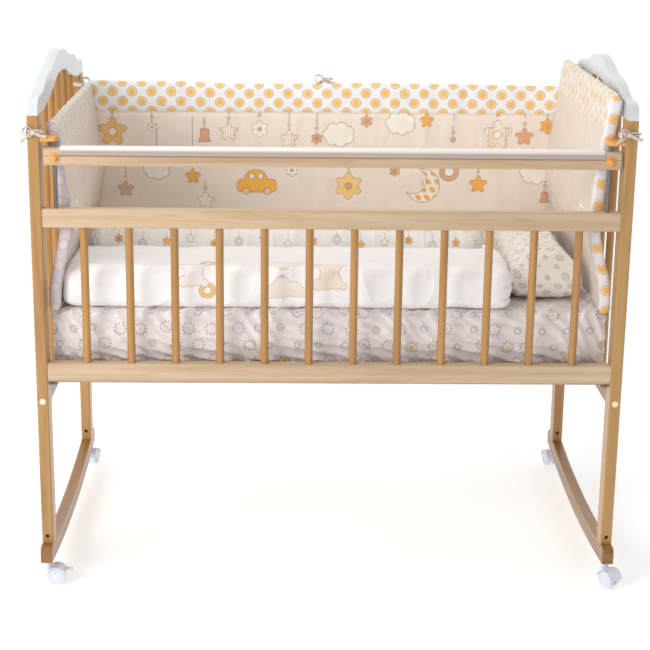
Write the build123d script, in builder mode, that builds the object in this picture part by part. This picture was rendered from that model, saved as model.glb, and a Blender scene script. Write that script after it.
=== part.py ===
"""Baby cradle: a 1200 x 600 cot on rockers with plug-in casters and a drop bar.

Millimetres. +X runs along the cot to the right, -Y is the front, +Z is up, and the
origin is on the floor under the middle of the cot.
"""
from build123d import *
import os
from math import cos, radians, sin, sqrt

# ---- Driving dimensions ----------------------------------------------------------
LENGTH = 1250            # over the end panels
DEPTH = 680              # over the front and back faces of the posts
POST_W, POST_D = 25, 45  # post section, along X and along Y
POST_TOP = 1036
RAIL_T, RAIL_H = 25, 40  # side rail section, along Y and along Z
RAIL_SETBACK = 2         # rail face behind the post face
LOWER_RAIL_Z = 467       # underside of both lower rails
MIDDLE_RAIL_Z = 802      # underside of the front middle rail
BACK_RAIL_Z = 955        # underside of the back top rail
CROSS_Z, CROSS_H, CROSS_T = 406, 32, 20
SPINDLE_R, TENON_R, TENON_L = 8.5, 5, 14
SIDE_SPINDLES, SIDE_PITCH = 12, 94
END_SPINDLES, END_PITCH = 5, 95

ROCKER_R = 2600          # radius of the rocker's underside
ROCKER_LOW = 33.5        # its lowest point above the floor
ROCKER_H = 39
ROCKER_HALF = 368        # nose to middle
CAP_T = 22

BAR_Z, BAR_H = 933, 38   # drop bar at the top of its travel
BAR_GAP = 6.4            # bar end to post
ROD_R, ROD_X, ROD_Y = 4, 571.5, -328
BRACKET_TOP, BRACKET_T, BRACKET_L = 993, 10, 36
GUARD_HALF, GUARD_T, GUARD_LOW = 559.5, 1.6, 953.2
BUTTON_Z, BUTTON_R, COLLAR_R = 949.5, 6.45, 11
BUTTON_TRAVEL = 4

WHEEL_R, WHEEL_W, WHEEL_IN = 19, 11, 5.5
TRAIL = 17               # swivel axis to wheel axle
CASTER_Y = 338
NECK_TOP = 52.4
STEM_R = 4
SOCKET_R, SOCKET_TOP, FLANGE_LOW = 5.5, 86, 52.6

MATTRESS = (1184, 596, 122)
SOFT_GAP = 0.4           # clearance kept round the bedding

# ---- Worked out from them --------------------------------------------------------
HALF_L, HALF_D = LENGTH / 2, DEPTH / 2
INNER_X = HALF_L - POST_W
POST_X = HALF_L - POST_W / 2
POST_Y = HALF_D - POST_D / 2
RAIL_Y = HALF_D - RAIL_SETBACK - RAIL_T / 2
RAIL_IN = RAIL_Y - RAIL_T / 2
RAIL_FACE = HALF_D - RAIL_SETBACK
BAR_HALF = INNER_X - BAR_GAP
BUTTON_SEAT = -316       # bottom of the button's blind bore
SLAT_TOP = 490.5
MATTRESS_LOW = SLAT_TOP + SOFT_GAP
MATTRESS_TOP = MATTRESS_LOW + MATTRESS[2]
BED_Z = MATTRESS_TOP + SOFT_GAP
BASE_BOLT_Y, BASE_BOLT_Z, BASE_BOLT_R = 303, 451, 4.5
BOLT_R = 3
NUT_R = 4.5
BARREL_NUT_Z = 111
RAIL_NUT_X = 556

SIDES = {"left": -1, "right": 1}
ENDS = {"front": -1, "back": 1}
# name: (x side, y side, heading of the trailing wheel in degrees)
CASTERS = {
    "front_left": (-1, -1, 0),
    "front_right": (1, -1, -58),
    "back_left": (-1, 1, 75),
    "back_right": (1, 1, 105),
}
BRAKED = "front_left"

os.makedirs("parts", exist_ok=True)


def save(part, node):
    """Label a finished piece and write its STEP file."""
    part.label = node
    export_step(part, f"parts/{node}.step")


def rocker_low(y):
    """Height of the rocker's underside at y."""
    return ROCKER_LOW + ROCKER_R - sqrt(ROCKER_R**2 - y**2)


def side_row(count, pitch):
    """Centred positions of a row of spindles."""
    return [(i - (count - 1) / 2) * pitch for i in range(count)]


# ---- Rockers ---------------------------------------------------------------------
def make_rocker(side, finished=True):
    """Curved runner; its ends are cut square and its top corners rounded off."""
    end_low = rocker_low(ROCKER_HALF)
    with BuildPart() as rocker:
        with BuildSketch(Plane.YZ.offset(side * POST_X - POST_W / 2)):
            with BuildLine():
                ThreePointArc((-ROCKER_HALF, end_low), (0, ROCKER_LOW), (ROCKER_HALF, end_low))
                Line((ROCKER_HALF, end_low), (ROCKER_HALF, end_low + ROCKER_H))
                ThreePointArc(
                    (ROCKER_HALF, end_low + ROCKER_H),
                    (0, ROCKER_LOW + ROCKER_H),
                    (-ROCKER_HALF, end_low + ROCKER_H),
                )
                Line((-ROCKER_HALF, end_low + ROCKER_H), (-ROCKER_HALF, end_low))
            make_face()
        extrude(amount=POST_W)
        fillet(rocker.edges().filter_by(Axis.X).group_by(Axis.Z)[-1], 14)
        fillet(rocker.edges().filter_by(Axis.X).group_by(Axis.Z)[0], 3)
        if finished:
            fillet(rocker.edges().filter_by(GeomType.CIRCLE).filter_by(lambda e: e.length > 400), 2.5)
            for end in (-1, 1):
                with Locations((side * POST_X, end * POST_Y, 0)):
                    Cylinder(BOLT_R, 130, align=(Align.CENTER, Align.CENTER, Align.MIN),
                             mode=Mode.SUBTRACT)
                    Cylinder(5.5, 59.5, align=(Align.CENTER, Align.CENTER, Align.MIN),
                             mode=Mode.SUBTRACT)
                with Locations((side * POST_X, end * CASTER_Y, 0)):
                    Cylinder(SOCKET_R, SOCKET_TOP, align=(Align.CENTER, Align.CENTER, Align.MIN),
                             mode=Mode.SUBTRACT)
    return rocker.part


plain_rockers = {name: make_rocker(side, finished=False) for name, side in SIDES.items()}
for name, side in SIDES.items():
    save(make_rocker(side), f"rocker_{name}")


# ---- Scalloped end caps ----------------------------------------------------------
CAP_TOP_LINE = [(HALF_D, 1044), (338, 1056), (330, 1065), (316, 1070), (262, 1074), (216, 1092),
                (172, 1100), (122, 1106), (82, 1117), (0, 1131)]
CAP_LOW_LINE = [(252, POST_TOP), (202, 1046), (150, 1055), (104, 1067), (66, 1079), (0, 1084)]


def both_halves(points):
    """Points of a symmetric outline, from its given half that ends on the middle line."""
    return points + [(-y, z) for y, z in reversed(points[:-1])]


def make_cap(side, with_holes=True):
    """White arch board on top of the two posts, symmetric about the middle."""
    with BuildPart() as cap:
        with BuildSketch(Plane.YZ.offset(side * POST_X - CAP_T / 2)):
            with BuildLine():
                Line((HALF_D, POST_TOP), (HALF_D, CAP_TOP_LINE[0][1]))
                Spline(both_halves(CAP_TOP_LINE))
                Line((-HALF_D, CAP_TOP_LINE[0][1]), (-HALF_D, POST_TOP))
                Line((-HALF_D, POST_TOP), (-CAP_LOW_LINE[0][0], POST_TOP))
                Spline(both_halves(CAP_LOW_LINE))
                Line((CAP_LOW_LINE[0][0], POST_TOP), (HALF_D, POST_TOP))
            make_face()
        extrude(amount=CAP_T)
        if with_holes:
            for y in side_row(END_SPINDLES, END_PITCH):
                with Locations((side * POST_X, y, cap_low(y) - 6)):
                    Cylinder(TENON_R, TENON_L + 12, align=(Align.CENTER, Align.CENTER, Align.MIN),
                             mode=Mode.SUBTRACT)
            for end in (-1, 1):
                with Locations((side * POST_X, end * POST_Y, POST_TOP)):
                    Cylinder(4, 20, align=(Align.CENTER, Align.CENTER, Align.MIN),
                             mode=Mode.SUBTRACT)
    return cap.part


def cap_low(y):
    """Height of the cap's lower edge at y, between its corner points."""
    for (y0, z0), (y1, z1) in zip(CAP_LOW_LINE, CAP_LOW_LINE[1:]):
        if y1 <= abs(y) <= y0:
            return z0 + (z1 - z0) * (abs(y) - y0) / (y1 - y0)
    return POST_TOP


for name, side in SIDES.items():
    save(make_cap(side), f"end_cap_{name}")


# ---- Posts -----------------------------------------------------------------------
def make_post(side, end):
    """One corner post, drilled for its bolts, screw, dowels and barrel nut."""
    x, y = side * POST_X, end * POST_Y
    rail_heights = [LOWER_RAIL_Z, MIDDLE_RAIL_Z if end < 0 else BACK_RAIL_Z]
    with BuildPart() as post:
        with Locations((x, y, 80)):
            Box(POST_W, POST_D, POST_TOP - 80, align=(Align.CENTER, Align.CENTER, Align.MIN))
        fillet(post.edges().filter_by(Axis.Z), 4)
        add(plain_rockers["left" if side < 0 else "right"], mode=Mode.SUBTRACT)
        with Locations((x, y, 90)):
            Cylinder(BOLT_R, 32, align=(Align.CENTER, Align.CENTER, Align.MIN), mode=Mode.SUBTRACT)
        with Locations((x, y, POST_TOP)):
            Cylinder(4, 40, mode=Mode.SUBTRACT)
        with Locations((x, y, BARREL_NUT_Z)):
            Cylinder(NUT_R, POST_D + 2, rotation=(90, 0, 0), mode=Mode.SUBTRACT)
        for z in rail_heights:
            with Locations((x, end * RAIL_Y, z + RAIL_H / 2)):
                Cylinder(BOLT_R, POST_W + 2, rotation=(0, 90, 0), mode=Mode.SUBTRACT)
            with Locations((side * (HALF_L - 3), end * RAIL_Y, z + RAIL_H / 2)):
                Cylinder(6, 6.1, rotation=(0, 90, 0), mode=Mode.SUBTRACT)
        # screw into the crosspiece, its head pocket and its cover plug's seat
        screw_z = CROSS_Z + CROSS_H / 2
        with Locations((x, y, screw_z)):
            Cylinder(2.5, POST_D + 2, rotation=(90, 0, 0), mode=Mode.SUBTRACT)
        with Locations((x, end * (HALF_D - 5), screw_z)):
            Cylinder(6, 10, rotation=(90, 0, 0), mode=Mode.SUBTRACT)
        with Locations((side * (INNER_X + 9.5), end * BASE_BOLT_Y, BASE_BOLT_Z)):
            Cylinder(BOLT_R, 19, rotation=(0, 90, 0), mode=Mode.SUBTRACT)
        if end < 0:
            with Locations((side * (INNER_X + 5.5), -320, BRACKET_TOP - BRACKET_T / 2)):
                Cylinder(3, 11, rotation=(0, 90, 0), mode=Mode.SUBTRACT)
    return post.part


for side_name, side in SIDES.items():
    for end_name, end in ENDS.items():
        save(make_post(side, end), f"post_{end_name}_{side_name}")


# ---- End crosspieces and spindles ------------------------------------------------
CROSS_HALF = HALF_D - POST_D
for name, side in SIDES.items():
    with BuildPart() as crosspiece:
        with Locations((side * POST_X, 0, CROSS_Z + CROSS_H / 2)):
            Box(CROSS_T, 2 * CROSS_HALF, CROSS_H)
        fillet(crosspiece.edges().filter_by(Axis.Y), 3)
        for end in (-1, 1):
            with Locations((side * POST_X, end * (CROSS_HALF - 15), CROSS_Z + CROSS_H / 2)):
                Cylinder(2.5, 30, rotation=(90, 0, 0), mode=Mode.SUBTRACT)
        for y in side_row(END_SPINDLES, END_PITCH):
            with Locations((side * POST_X, y, CROSS_Z + CROSS_H)):
                Cylinder(TENON_R, TENON_L, align=(Align.CENTER, Align.CENTER, Align.MAX),
                         mode=Mode.SUBTRACT)
    save(crosspiece.part, f"end_crosspiece_{name}")

    with BuildPart() as end_spindles:
        for y in side_row(END_SPINDLES, END_PITCH):
            with Locations((side * POST_X, y, CROSS_Z + CROSS_H)):
                Cylinder(SPINDLE_R, cap_low(y) + 20 - CROSS_Z - CROSS_H,
                         align=(Align.CENTER, Align.CENTER, Align.MIN))
        add(make_cap(side, with_holes=False), mode=Mode.SUBTRACT)
        for y in side_row(END_SPINDLES, END_PITCH):
            with Locations((side * POST_X, y, CROSS_Z + CROSS_H - TENON_L)):
                Cylinder(TENON_R, cap_low(y) + TENON_L - 1 - CROSS_Z - CROSS_H + TENON_L,
                         align=(Align.CENTER, Align.CENTER, Align.MIN))
    save(end_spindles.part, f"end_spindles_{name}")


# ---- Side rails and spindles -----------------------------------------------------
def make_rail(end, z, tenons_on_top, rod_holes=False):
    """Straight rail between two posts, drilled for spindles, bolts and barrel nuts."""
    with BuildPart() as rail:
        with Locations((0, end * RAIL_Y, z + RAIL_H / 2)):
            Box(2 * INNER_X, RAIL_T, RAIL_H)
        fillet(rail.edges().filter_by(Axis.X), 4)
        face_z = z + RAIL_H if tenons_on_top else z
        for x in side_row(SIDE_SPINDLES, SIDE_PITCH):
            with Locations((x, end * RAIL_Y, face_z)):
                Cylinder(TENON_R, 2 * TENON_L, mode=Mode.SUBTRACT)
        for side in (-1, 1):
            with Locations((side * (RAIL_NUT_X + 25), end * RAIL_Y, z + RAIL_H / 2)):
                Cylinder(BOLT_R, 62, rotation=(0, 90, 0), mode=Mode.SUBTRACT)
            with Locations((side * RAIL_NUT_X, end * RAIL_Y, z + 14)):
                Cylinder(NUT_R, 29, mode=Mode.SUBTRACT)
            if rod_holes:
                with Locations((side * ROD_X, ROD_Y, z + RAIL_H)):
                    Cylinder(ROD_R, 28, mode=Mode.SUBTRACT)
    return rail.part


def make_spindle_row(end, low, high):
    """Turned spindles with a tenon at each end."""
    with BuildPart() as row:
        for x in side_row(SIDE_SPINDLES, SIDE_PITCH):
            with Locations((x, end * RAIL_Y, low)):
                Cylinder(SPINDLE_R, high - low, align=(Align.CENTER, Align.CENTER, Align.MIN))
            with Locations((x, end * RAIL_Y, low - TENON_L)):
                Cylinder(TENON_R, high - low + 2 * TENON_L,
                         align=(Align.CENTER, Align.CENTER, Align.MIN))
    return row.part


save(make_rail(-1, LOWER_RAIL_Z, True), "front_lower_rail")
save(make_rail(-1, MIDDLE_RAIL_Z, False, rod_holes=True), "front_middle_rail")
save(make_rail(1, LOWER_RAIL_Z, True), "back_lower_rail")
save(make_rail(1, BACK_RAIL_Z, False), "back_top_rail")
save(make_spindle_row(-1, LOWER_RAIL_Z + RAIL_H, MIDDLE_RAIL_Z), "front_spindles")
save(make_spindle_row(1, LOWER_RAIL_Z + RAIL_H, BACK_RAIL_Z), "back_spindles")


# ---- Fasteners -------------------------------------------------------------------
with BuildPart() as rail_bolts:
    for side in (-1, 1):
        for end, heights in ((-1, (LOWER_RAIL_Z, MIDDLE_RAIL_Z)), (1, (LOWER_RAIL_Z, BACK_RAIL_Z))):
            for z in heights:
                with Locations((side * (RAIL_NUT_X - 3 + 66 / 2), end * RAIL_Y, z + RAIL_H / 2)):
                    Cylinder(BOLT_R, 66, rotation=(0, 90, 0))
                with Locations((side * (HALF_L - 3.5), end * RAIL_Y, z + RAIL_H / 2)):
                    Cylinder(5.5, 5, rotation=(0, 90, 0))
                    Cylinder(2, 8, rotation=(0, 90, 0), mode=Mode.SUBTRACT)
save(rail_bolts.part, "rail_bolts")

with BuildPart() as barrel_nuts:
    for side in (-1, 1):
        for end, heights in ((-1, (LOWER_RAIL_Z, MIDDLE_RAIL_Z)), (1, (LOWER_RAIL_Z, BACK_RAIL_Z))):
            for z in heights:
                with Locations((side * RAIL_NUT_X, end * RAIL_Y, z + RAIL_H / 2)):
                    Cylinder(NUT_R, 16)
                    Cylinder(BOLT_R, 12, rotation=(0, 90, 0), mode=Mode.SUBTRACT)
            with Locations((side * POST_X, end * POST_Y, BARREL_NUT_Z)):
                Cylinder(NUT_R, 18, rotation=(90, 0, 0))
                Cylinder(BOLT_R, 12, mode=Mode.SUBTRACT)
save(barrel_nuts.part, "barrel_nuts")

with BuildPart() as rocker_bolts:
    for side in (-1, 1):
        for end in (-1, 1):
            with Locations((side * POST_X, end * POST_Y, 53.6)):
                Cylinder(5, 5.9, align=(Align.CENTER, Align.CENTER, Align.MIN))
                Cylinder(2, 6, mode=Mode.SUBTRACT)
            with Locations((side * POST_X, end * POST_Y, 59)):
                Cylinder(BOLT_R, 59, align=(Align.CENTER, Align.CENTER, Align.MIN))
save(rocker_bolts.part, "rocker_bolts")

with BuildPart() as crosspiece_screws:
    for side in (-1, 1):
        for end in (-1, 1):
            with Locations((side * POST_X, end * (HALF_D - 7.5), CROSS_Z + CROSS_H / 2)):
                Cylinder(5.5, 5, rotation=(90, 0, 0))
            with Locations((side * POST_X, end * (HALF_D - 40), CROSS_Z + CROSS_H / 2)):
                Cylinder(2.5, 62, rotation=(90, 0, 0))
save(crosspiece_screws.part, "crosspiece_screws")

with BuildPart() as screw_plugs:
    for side in (-1, 1):
        for end in (-1, 1):
            with Locations((side * POST_X, end * (HALF_D - 2), CROSS_Z + CROSS_H / 2)):
                Cylinder(6, 4, rotation=(90, 0, 0))
            with Locations((side * POST_X, end * (HALF_D + 0.6), CROSS_Z + CROSS_H / 2)):
                Cylinder(6.8, 1.2, rotation=(90, 0, 0))
save(screw_plugs.part, "screw_plugs")

with BuildPart() as wood_dowels:
    for side in (-1, 1):
        for end in (-1, 1):
            with Locations((side * POST_X, end * POST_Y, POST_TOP)):
                Cylinder(4, 39)
        with Locations((side * INNER_X, -320, BRACKET_TOP - BRACKET_T / 2)):
            Cylinder(3, 21, rotation=(0, 90, 0))
save(wood_dowels.part, "wood_dowels")

with BuildPart() as base_support_bolts:
    for side in (-1, 1):
        for end in (-1, 1):
            with Locations((side * (INNER_X + 3.5), end * BASE_BOLT_Y, BASE_BOLT_Z)):
                Cylinder(BOLT_R, 30, rotation=(0, 90, 0))
            with Locations((side * (INNER_X - 11.5), end * BASE_BOLT_Y, BASE_BOLT_Z)):
                Cylinder(BASE_BOLT_R, 5, rotation=(0, 90, 0))
                Cylinder(2, 8, rotation=(0, 90, 0), mode=Mode.SUBTRACT)
save(base_support_bolts.part, "base_support_bolts")


# ---- Mattress base ---------------------------------------------------------------
BASE_LOW = BASE_BOLT_Z + BASE_BOLT_R
SLAT_T = 10
BASE_TOP = SLAT_TOP - SLAT_T
BASE_OUT_Y = 310
SLATS = 9
with BuildPart() as mattress_base_bars:
    for side in (-1, 1):
        with Locations((side * 588.5, 0, BASE_LOW)):
            Box(21, 2 * BASE_OUT_Y, BASE_TOP - BASE_LOW, align=(Align.CENTER, Align.CENTER, Align.MIN))
    for end in (-1, 1):
        with Locations((0, end * (BASE_OUT_Y - 15), BASE_LOW)):
            Box(2 * 577.8, 30, BASE_TOP - BASE_LOW, align=(Align.CENTER, Align.CENTER, Align.MIN))
save(mattress_base_bars.part, "mattress_base_bars")

with BuildPart() as mattress_base_slats:
    with Locations(*[(x, 0, BASE_TOP) for x in side_row(SLATS, 128)]):
        Box(70, 2 * (BASE_OUT_Y - 2), SLAT_T, align=(Align.CENTER, Align.CENTER, Align.MIN))
    fillet(mattress_base_slats.edges().filter_by(Axis.Y).group_by(Axis.Z)[-1], 2)
save(mattress_base_slats.part, "mattress_base_slats")


# ---- Guide rods and their brackets -----------------------------------------------
with BuildPart() as guide_rods:
    for side in (-1, 1):
        with Locations((side * ROD_X, ROD_Y, MIDDLE_RAIL_Z + RAIL_H - 14)):
            Cylinder(ROD_R, BRACKET_TOP - 2 - (MIDDLE_RAIL_Z + RAIL_H - 14),
                     align=(Align.CENTER, Align.CENTER, Align.MIN))
save(guide_rods.part, "guide_rods")

BRACKET_FRONT, BRACKET_BACK = RAIL_FACE, 302
with BuildPart() as rod_brackets:
    for side in (-1, 1):
        with Locations((side * (INNER_X - BRACKET_L / 2), -(BRACKET_FRONT + BRACKET_BACK) / 2,
                        BRACKET_TOP - BRACKET_T / 2)):
            Box(BRACKET_L, BRACKET_FRONT - BRACKET_BACK, BRACKET_T)
    inner_corners = rod_brackets.edges().filter_by(Axis.Z).filter_by(lambda e: abs(e.center().X) < 580)
    fillet(inner_corners, 12)
    fillet(rod_brackets.faces().group_by(Axis.Z)[-1].edges(), 2)
    for side in (-1, 1):
        with Locations((side * ROD_X, ROD_Y, BRACKET_TOP - BRACKET_T)):
            Cylinder(ROD_R, 2 * (BRACKET_T - 2), mode=Mode.SUBTRACT)
        with Locations((side * (INNER_X - 5), -320, BRACKET_TOP - BRACKET_T / 2)):
            Cylinder(3, 11, rotation=(0, 90, 0), mode=Mode.SUBTRACT)
save(rod_brackets.part, "rod_brackets")


# ---- Drop bar --------------------------------------------------------------------
BAR_TOP = BAR_Z + BAR_H
GROOVE_H, GROOVE_DEPTH = 1.8, 1.6
with BuildPart() as drop_bar:
    with Locations((0, -RAIL_Y, BAR_Z + BAR_H / 2)):
        Box(2 * BAR_HALF, RAIL_T, BAR_H)
    fillet(drop_bar.edges().filter_by(Axis.X).group_by(Axis.Z)[-1], 10)
    fillet(drop_bar.edges().filter_by(Axis.X).group_by(Axis.Z)[0], 3)
    for face_y in (-RAIL_FACE, -RAIL_IN):
        with Locations((0, face_y, GUARD_LOW + GROOVE_H / 2 - 0.2)):
            Box(2 * BAR_HALF, 2 * GROOVE_DEPTH, GROOVE_H, mode=Mode.SUBTRACT)
    for side in (-1, 1):
        with Locations((side * ROD_X, ROD_Y, BAR_Z)):
            Cylinder(ROD_R + 0.08, 2 * BAR_H + 2, mode=Mode.SUBTRACT)
        with Locations((side * ROD_X, (BUTTON_SEAT - 345) / 2, BUTTON_Z)):
            Cylinder(7.1, BUTTON_SEAT + 345, rotation=(90, 0, 0), mode=Mode.SUBTRACT)
save(drop_bar.part, "drop_bar")

# clip-on chew guard: a thin cap over the bar's rounded top with a lip into each groove
with BuildPart() as chew_guard:
    with BuildSketch(Plane.YZ.offset(-GUARD_HALF)) as guard_profile:
        with Locations((-RAIL_Y, (GUARD_LOW + BAR_TOP + GUARD_T) / 2)):
            Rectangle(RAIL_T + 2 * GUARD_T, BAR_TOP + GUARD_T - GUARD_LOW)
        fillet(guard_profile.vertices().group_by(Axis.Y)[-1], 10 + GUARD_T)
        with BuildLine():
            low = GUARD_LOW - 1
            Polyline((-RAIL_FACE, BAR_TOP - 10), (-RAIL_FACE, low), (-RAIL_IN, low),
                     (-RAIL_IN, BAR_TOP - 10))
            RadiusArc((-RAIL_IN, BAR_TOP - 10), (-RAIL_IN - 10, BAR_TOP), -10)
            Line((-RAIL_IN - 10, BAR_TOP), (-RAIL_FACE + 10, BAR_TOP))
            RadiusArc((-RAIL_FACE + 10, BAR_TOP), (-RAIL_FACE, BAR_TOP - 10), -10)
        make_face(mode=Mode.SUBTRACT)
        for lip_y in (-RAIL_FACE + 0.7, -RAIL_IN - 0.7):
            with Locations((lip_y, GUARD_LOW + 0.7)):
                Rectangle(1.4, 1.4)
    extrude(amount=2 * GUARD_HALF)
save(chew_guard.part, "chew_guard")

# flanged collars round the two push buttons
with BuildPart() as button_collars:
    for side in (-1, 1):
        with Locations((side * ROD_X, -RAIL_FACE - 1.1, BUTTON_Z)):
            Cylinder(COLLAR_R, 2.2, rotation=(90, 0, 0))
    fillet(button_collars.faces().filter_by(Axis.Y).group_by(Axis.Y)[0].edges(), 1.4)
    for side in (-1, 1):
        with Locations((side * ROD_X, -RAIL_FACE + 2, BUTTON_Z)):
            Cylinder(7.1, 4, rotation=(90, 0, 0))
        with Locations((side * ROD_X, -RAIL_FACE, BUTTON_Z)):
            Cylinder(BUTTON_R + 0.06, 12, rotation=(90, 0, 0), mode=Mode.SUBTRACT)
save(button_collars.part, "button_collars")

# push buttons: a domed plunger with a slot that the guide rod passes through
PLUNGER_BACK = -321.5
SLOT_BACK = ROD_Y + ROD_R + 0.2
SLOT_FRONT = ROD_Y - ROD_R - 0.2 - BUTTON_TRAVEL
for name, side in SIDES.items():
    with BuildPart() as button:
        with BuildSketch(Plane.XZ.offset(343)):
            with Locations((side * ROD_X, BUTTON_Z)):
                Circle(BUTTON_R)
        extrude(amount=-(343 + PLUNGER_BACK))
        with BuildSketch(Plane.XZ.offset(343)):
            with Locations((side * ROD_X, BUTTON_Z)):
                Circle(BUTTON_R)
        extrude(amount=4)
        fillet(button.edges().group_by(Axis.Y)[0], 3.8)
        with BuildSketch(Plane.XY.offset(BUTTON_Z - 10)):
            with Locations((side * ROD_X, (SLOT_BACK + SLOT_FRONT) / 2)):
                SlotOverall(SLOT_BACK - SLOT_FRONT, 2 * ROD_R + 0.4, rotation=90)
        extrude(amount=20, mode=Mode.SUBTRACT)
    save(button.part, f"button_{name}")

# one return spring behind each plunger
SPRING_WIRE, SPRING_R, SPRING_TURNS = 0.35, 3.6, 3
SPRING_L = BUTTON_SEAT - PLUNGER_BACK - 2 * SPRING_WIRE
springs = []
for side in (-1, 1):
    start = (side * ROD_X, PLUNGER_BACK + SPRING_WIRE, BUTTON_Z)
    with BuildPart() as spring:
        with BuildLine() as coil:
            Helix(SPRING_L / SPRING_TURNS, SPRING_L, SPRING_R, center=start, direction=(0, 1, 0))
        with BuildSketch(Plane(origin=coil.wires()[0] @ 0, z_dir=coil.wires()[0] % 0)):
            Circle(SPRING_WIRE)
        sweep()
    springs.append(spring.part)
save(Compound(children=springs), "button_springs")


# ---- Casters ---------------------------------------------------------------------
HOOD_IN, HOOD_OUT, HOOD_HALF = 20.3, 22.6, 17.5
HOOD_FROM, HOOD_TO = 8, 172
WEB_HALF = 4.5
LEVER_PIN = (TRAIL + 26.6 * cos(radians(27)), WHEEL_R + 26.6 * sin(radians(27)))
EAR_IN, EAR_OUT = 8.4, 10.6


def caster_place(name):
    """Floor point under a caster's swivel axis, turned so local +X trails to its wheel."""
    side, end, heading = CASTERS[name]
    return Location((side * POST_X, end * CASTER_Y, 0), (0, 0, heading))


def ring_sector(inner, outer, start, stop):
    """Part of a ring round the wheel's axle, as a flat sketch."""
    with BuildSketch() as sector:
        with BuildLine():
            CenterArc((TRAIL, WHEEL_R), outer, start, stop - start)
            CenterArc((TRAIL, WHEEL_R), inner, start, stop - start)
            for angle in (start, stop):
                c, s = cos(radians(angle)), sin(radians(angle))
                Line((TRAIL + inner * c, WHEEL_R + inner * s),
                     (TRAIL + outer * c, WHEEL_R + outer * s))
        make_face()
    return sector.sketch


def make_housing(with_brake):
    """Hood over two wheels, with a web between them and a neck for the stem."""
    with BuildPart() as housing:
        with BuildSketch(Plane.XZ):
            add(ring_sector(HOOD_IN, HOOD_OUT, HOOD_FROM, HOOD_TO))
        extrude(amount=HOOD_HALF, both=True)
        with BuildSketch(Plane.XZ):
            with BuildLine():
                Polyline((TRAIL - 13, WHEEL_R - 4), (TRAIL + 13, WHEEL_R - 4), (TRAIL + 14, 36),
                         (8, 44), (-8, 44), (-5, 30), close=True)
            make_face()
            with Locations((TRAIL, WHEEL_R)):
                Circle(13)
        extrude(amount=WEB_HALF, both=True)
        with Locations((0, 0, 38)):
            Cylinder(9, NECK_TOP - 38, align=(Align.CENTER, Align.CENTER, Align.MIN))
        # keep the neck out of the wheels' space
        for y_side in (-1, 1):
            with BuildSketch(Plane.XZ.offset(y_side * WEB_HALF)):
                with Locations((TRAIL, WHEEL_R)):
                    Circle(HOOD_IN)
            extrude(amount=y_side * 13.5, mode=Mode.SUBTRACT)
        with BuildSketch(Plane.XZ):
            with Locations((TRAIL, WHEEL_R)):
                Circle(2.55)
        extrude(amount=20, both=True, mode=Mode.SUBTRACT)
        if with_brake:
            for y_side in (-1, 1):
                with BuildSketch(Plane.XZ.offset(y_side * EAR_IN)):
                    with Locations(LEVER_PIN):
                        Circle(3)
                    add(ring_sector(HOOD_IN + 1, 26.6, 20, 34))
                extrude(amount=y_side * (EAR_OUT - EAR_IN))
            with BuildSketch(Plane.XZ):
                with Locations(LEVER_PIN):
                    Circle(1.25)
            extrude(amount=EAR_OUT, both=True)
    return housing.part


def make_wheels():
    """Two rounded wheels on a common axle."""
    with BuildPart() as wheels:
        for y_side in (-1, 1):
            with BuildSketch(Plane.XZ.offset(y_side * WHEEL_IN)):
                with Locations((TRAIL, WHEEL_R)):
                    Circle(WHEEL_R)
            extrude(amount=y_side * WHEEL_W)
        fillet(wheels.edges().filter_by(GeomType.CIRCLE), 2.4)
        for y_side in (-1, 1):
            with BuildSketch(Plane.XZ.offset(y_side * (WHEEL_IN + WHEEL_W - 1))):
                with Locations((TRAIL, WHEEL_R)):
                    Circle(14.2)
                    Circle(12.6, mode=Mode.SUBTRACT)
            extrude(amount=y_side * 2, mode=Mode.SUBTRACT)
        with BuildSketch(Plane.XZ):
            with Locations((TRAIL, WHEEL_R)):
                Circle(2.5)
        extrude(amount=WHEEL_IN + 6, both=True)
    return wheels.part


with BuildPart() as stem:
    with Locations((0, 0, NECK_TOP)):
        Cylinder(STEM_R, SOCKET_TOP - 4 - NECK_TOP, align=(Align.CENTER, Align.CENTER, Align.MIN))
    chamfer(stem.edges().group_by(Axis.Z)[-1], 1.5)

with BuildPart() as brake_lever:
    x0, z0 = LEVER_PIN
    with BuildSketch(Plane.XZ):
        with BuildLine():
            Polyline((x0, z0 + 3), (x0 + 12, z0 + 1.4), (x0 + 12.6, z0 - 1.2), (x0, z0 - 1.4), close=True)
        make_face()
        with Locations(LEVER_PIN):
            Circle(3)
            Circle(1.31, mode=Mode.SUBTRACT)
    extrude(amount=EAR_IN - 0.2, both=True)

wheels = make_wheels()
for name in CASTERS:
    place = caster_place(name)
    save(make_housing(name == BRAKED).moved(place), f"caster_housing_{name}")
    save(wheels.moved(place), f"caster_wheels_{name}")
    save(stem.part.moved(place), f"caster_stem_{name}")
save(brake_lever.part.moved(caster_place(BRAKED)), "brake_lever")

with BuildPart() as caster_sockets:
    for side in (-1, 1):
        for end in (-1, 1):
            with Locations((side * POST_X, end * CASTER_Y, FLANGE_LOW)):
                Cylinder(10, 8, align=(Align.CENTER, Align.CENTER, Align.MIN))
    for rocker in plain_rockers.values():
        add(rocker, mode=Mode.SUBTRACT)
    for side in (-1, 1):
        for end in (-1, 1):
            with Locations((side * POST_X, end * CASTER_Y, FLANGE_LOW)):
                Cylinder(SOCKET_R, SOCKET_TOP - FLANGE_LOW, align=(Align.CENTER, Align.CENTER, Align.MIN))
                Cylinder(STEM_R + 0.06, 2 * (SOCKET_TOP - FLANGE_LOW - 2), mode=Mode.SUBTRACT)
save(caster_sockets.part, "caster_sockets")


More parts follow.
